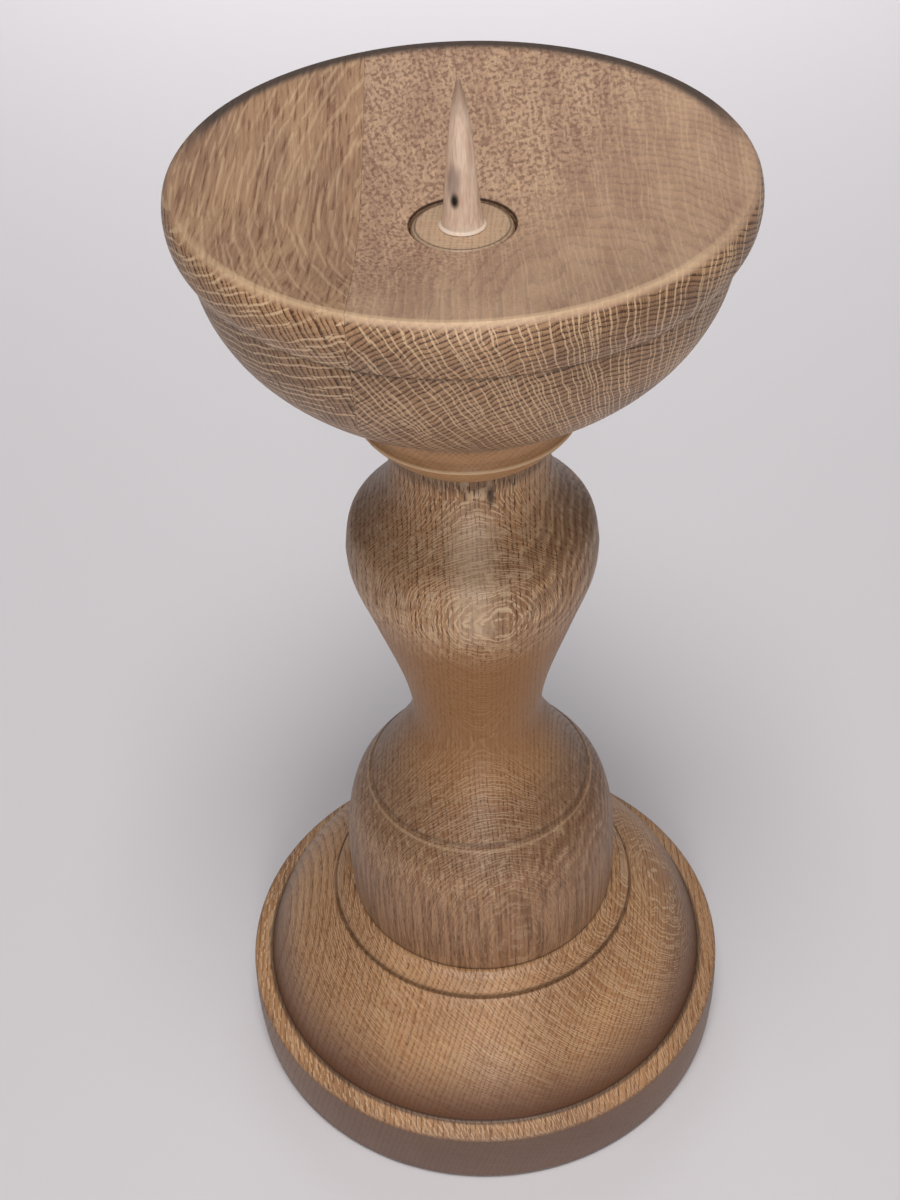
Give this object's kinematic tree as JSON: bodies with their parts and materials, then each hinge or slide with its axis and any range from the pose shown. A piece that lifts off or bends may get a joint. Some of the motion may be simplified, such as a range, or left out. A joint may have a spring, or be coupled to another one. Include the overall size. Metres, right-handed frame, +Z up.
{
  "type": "candlestick",
  "caption": "Turned wooden candlestick: shallow dished cup with a spike for a pillar candle, vase and bell shaped stem, round domed base.",
  "frame": {"origin": "centre of the flat underside of the base", "axes": "+Z up along the turning axis, -Y towards the front, grain of the cup and base along Y"},
  "size_m": [0.1614, 0.1614, 0.337],
  "materials": {
    "base_oak": "satin varnished oak, grain along Y",
    "stem_oak": "satin varnished oak, grain along Z",
    "cup_left_oak": "satin varnished oak, grain along Y",
    "cup_right_oak": "satin varnished oak, grain along Y",
    "spike_dowel": "bare pale hardwood, grain along Z"
  },
  "bodies": {
    "root": {"base": "base_oak", "stem": "stem_oak", "cup_left_board": "cup_left_oak", "cup_right_board": "cup_right_oak", "pricket_spike": "spike_dowel"}
  },
  "joints": []
}
